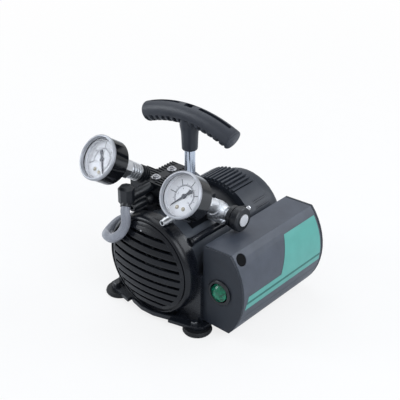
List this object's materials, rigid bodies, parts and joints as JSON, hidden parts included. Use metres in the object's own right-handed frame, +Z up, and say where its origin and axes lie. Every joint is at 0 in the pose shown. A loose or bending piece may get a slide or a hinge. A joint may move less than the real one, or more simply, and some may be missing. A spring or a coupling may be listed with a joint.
{
  "type": "rotary vane vacuum pump",
  "caption": "Bench vacuum pump: louvred motor barrel on rubber feet, finned head with dial gauges, regulator knob, hose loop, side switch box and T handle",
  "frame": {"origin": "on the floor under the middle of the bounding box, hose left out", "axes": "+Z up, -Y to the louvred front, +X to the switch box"},
  "size_m": [0.2011, 0.211, 0.2373],
  "materials": {
    "black_paint": "satin black paint on castings",
    "charcoal_paint": "satin charcoal paint",
    "black_plastic": "black moulded plastic",
    "gloss_black": "gloss black paint",
    "rubber": "matte black rubber",
    "chrome": "bright nickel or chrome plate",
    "steel": "machined steel",
    "vane_carbon": "graphite composite",
    "copper": "varnished copper wire",
    "can_aluminium": "drawn can",
    "green_lens": "translucent green lens",
    "dial_white": "off-white dial",
    "gauge_glass": "clear lens",
    "soft_black": "soft-touch black grip",
    "clear_hose": "translucent hose"
  },
  "bodies": {
    "frame": {"front_foot_plate": "black_paint", "rear_foot_plate": "black_paint", "motor_front_bell": "black_paint", "head_base": "black_paint", "cylinder_head": "black_paint", "manifold_block": "black_paint", "box_front_cap": "black_paint", "box_rear_cap": "black_paint", "front_cover": "charcoal_paint", "pump_housing": "charcoal_paint", "motor_shell": "charcoal_paint", "rear_bell": "charcoal_paint", "switch_box": "charcoal_paint", "elbow_fitting": "black_plastic", "inlet_nozzle": "black_plastic", "switch_body": "black_plastic", "power_inlet": "black_plastic", "tie_rod_left": "gloss_black", "tie_rod_right": "gloss_black", "left_gauge_case": "gloss_black", "right_gauge_case": "gloss_black", "foot_front_left": "rubber", "foot_front_right": "rubber", "foot_rear_left": "rubber", "foot_rear_right": "rubber", "box_plug": "rubber", "left_gauge_stem": "chrome", "right_gauge_stem": "chrome", "left_gauge_bezel": "chrome", "right_gauge_bezel": "chrome", "regulator_tee": "chrome", "outlet_barb": "chrome", "handle_post": "chrome", "pump_cylinder": "steel", "front_end_plate": "steel", "front_bearing": "steel", "rear_bearing": "steel", "stator_core": "steel", "head_screw_front": "steel", "head_screw_rear": "steel", "stator_winding": "copper", "capacitor": "can_aluminium", "left_gauge_dial": "dial_white", "right_gauge_dial": "dial_white", "left_gauge_lens": "gauge_glass", "right_gauge_lens": "gauge_glass", "handle_grip": "soft_black", "hose": "clear_hose"},
    "rotor": {"shaft": "steel", "pump_rotor": "steel", "motor_rotor": "steel", "fan": "black_plastic"},
    "vane_left_body": {"vane_left": "vane_carbon"},
    "vane_right_body": {"vane_right": "vane_carbon"},
    "rocker_body": {"rocker": "green_lens"},
    "knob_body": {"knob": "black_plastic", "knob_cap": "steel"},
    "needle_body": {"valve_needle": "steel"},
    "left_pointer": {"left_gauge_pointer": "gloss_black"},
    "right_pointer": {"right_gauge_pointer": "gloss_black"}
  },
  "joints": [
    {"name": "rotor_spin", "type": "hinge", "parent": "frame", "child": "rotor", "pos_m": [-0.0172, 0.0138, 0.068], "axis": [0, 1, 0], "continuous": true},
    {"name": "vane_left_slide", "type": "slide", "parent": "rotor", "child": "vane_left_body", "axis": [-1, 0, 0], "range_m": [0, 0.0036]},
    {"name": "vane_right_slide", "type": "slide", "parent": "rotor", "child": "vane_right_body", "axis": [1, 0, 0], "range_m": [0, 0.0036]},
    {"name": "rocker_tilt", "type": "hinge", "parent": "frame", "child": "rocker_body", "pos_m": [0.07, -0.0566, 0.0601], "axis": [1, 0, 0], "range_deg": [0, 14]},
    {"name": "knob_turn", "type": "hinge", "parent": "frame", "child": "knob_body", "pos_m": [0.0493, -0.0084, 0.1254], "axis": [1, 0, 0], "range_deg": [0, 1080]},
    {"name": "needle_slide", "type": "slide", "parent": "frame", "child": "needle_body", "axis": [1, 0, 0], "range_m": [0, 0.003]},
    {"name": "left_pointer_turn", "type": "hinge", "parent": "frame", "child": "left_pointer", "pos_m": [-0.0689, -0.0362, 0.151], "axis": [-0.088, -0.8234, 0.5606], "range_deg": [-2, 266], "stiffness_Nm_per_rad": 0.002},
    {"name": "right_pointer_turn", "type": "hinge", "parent": "frame", "child": "right_pointer", "pos_m": [0.0268, -0.0174, 0.1339], "axis": [0.0261, -0.8296, 0.5577], "range_deg": [-266, 2], "stiffness_Nm_per_rad": 0.002}
  ],
  "couplings": [
    {"joint": "needle_slide", "follows": "knob_turn", "m_per_rad": 0.00015915}
  ]
}
